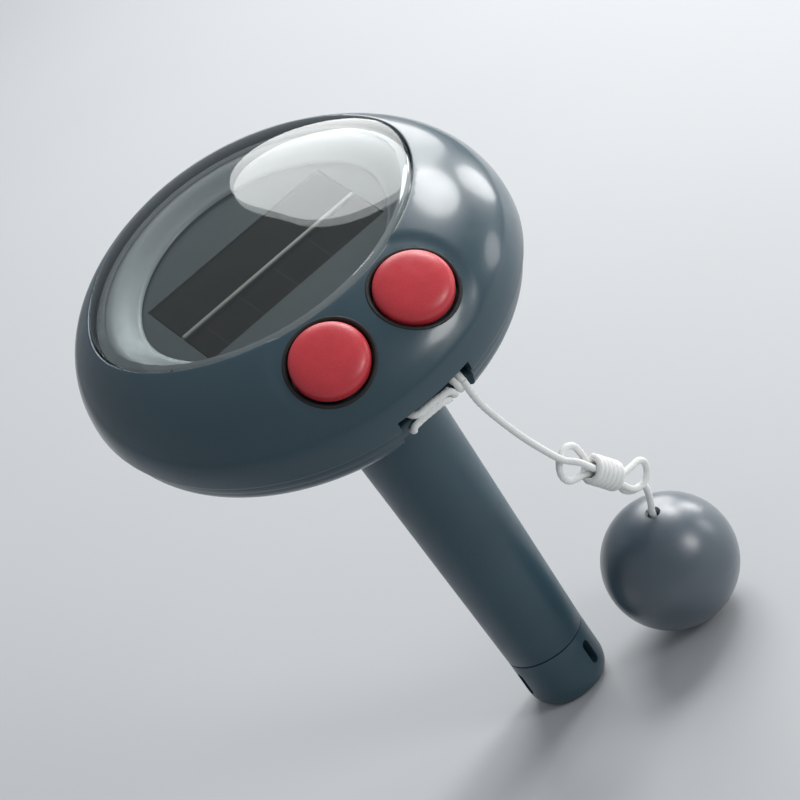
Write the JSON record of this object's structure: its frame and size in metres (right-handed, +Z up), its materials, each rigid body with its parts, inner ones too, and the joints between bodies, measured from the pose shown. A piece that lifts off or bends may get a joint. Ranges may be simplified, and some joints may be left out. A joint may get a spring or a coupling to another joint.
{
  "type": "floating pool thermometer",
  "caption": "Floating digital water thermometer: tilted round display head with window and buttons, ballasted probe stem, and a tether cord with a ball.",
  "frame": {"origin": "centre of the stem's flat foot, on the surface the thermometer stands on", "axes": "+Z up along the stem towards the head; -Y is the front, where the two buttons and the tether notch are"},
  "size_m": [0.096, 0.0922, 0.1325],
  "materials": {
    "shell_plastic": "glossy moulded",
    "stem_plastic": "satin moulded",
    "ball_plastic": "satin",
    "button_rubber": "satin",
    "lens_clear": "polished",
    "bezel_silver": "satin silver",
    "panel_grey": "satin",
    "display_glass": "polished",
    "solar_glass": "polished",
    "board_green": "solder mask",
    "seal_rubber": "matt",
    "steel": "brushed",
    "cell_steel": "polished",
    "switch_metal": "stamped",
    "probe_brass": "turned",
    "cord_white": "braided"
  },
  "bodies": {
    "housing": {"top_shell": "shell_plastic", "bottom_shell": "shell_plastic", "shell_gasket": "seal_rubber", "case_screw_1": "steel", "case_screw_2": "steel", "case_screw_3": "steel", "case_screw_4": "steel", "lens": "lens_clear", "lens_gasket": "seal_rubber", "inner_bezel": "bezel_silver", "display_panel": "panel_grey", "lcd_display": "display_glass", "solar_cell": "solar_glass", "display_connector": "seal_rubber", "circuit_board": "board_green", "battery_cell": "cell_steel", "battery_holder": "panel_grey", "switch_left": "switch_metal", "switch_right": "switch_metal", "switch_board": "board_green", "button_seal_left": "seal_rubber", "button_seal_right": "seal_rubber", "stem_tube": "stem_plastic", "stem_seal": "seal_rubber", "stem_nut": "stem_plastic", "stem_cap": "stem_plastic", "ballast_weight": "steel", "probe_seal": "seal_rubber", "sensor_probe": "probe_brass", "sensor_cable": "seal_rubber", "tether_bar": "shell_plastic", "tether_hitch": "cord_white", "tether_cord_upper": "cord_white", "tether_hank": "cord_white", "tether_cord_lower": "cord_white", "tether_ball": "ball_plastic"},
    "left_button": {"button_left": "button_rubber"},
    "right_button": {"button_right": "button_rubber"}
  },
  "joints": [
    {"name": "left_button_press", "type": "slide", "parent": "housing", "child": "left_button", "axis": [0.051, 0.6327, -0.7727], "range_m": [0, 0.001], "stiffness_N_per_m": 600, "springref_m": -0.0015},
    {"name": "right_button_press", "type": "slide", "parent": "housing", "child": "right_button", "axis": [-0.051, 0.6327, -0.7727], "range_m": [0, 0.001], "stiffness_N_per_m": 600, "springref_m": -0.0015}
  ]
}
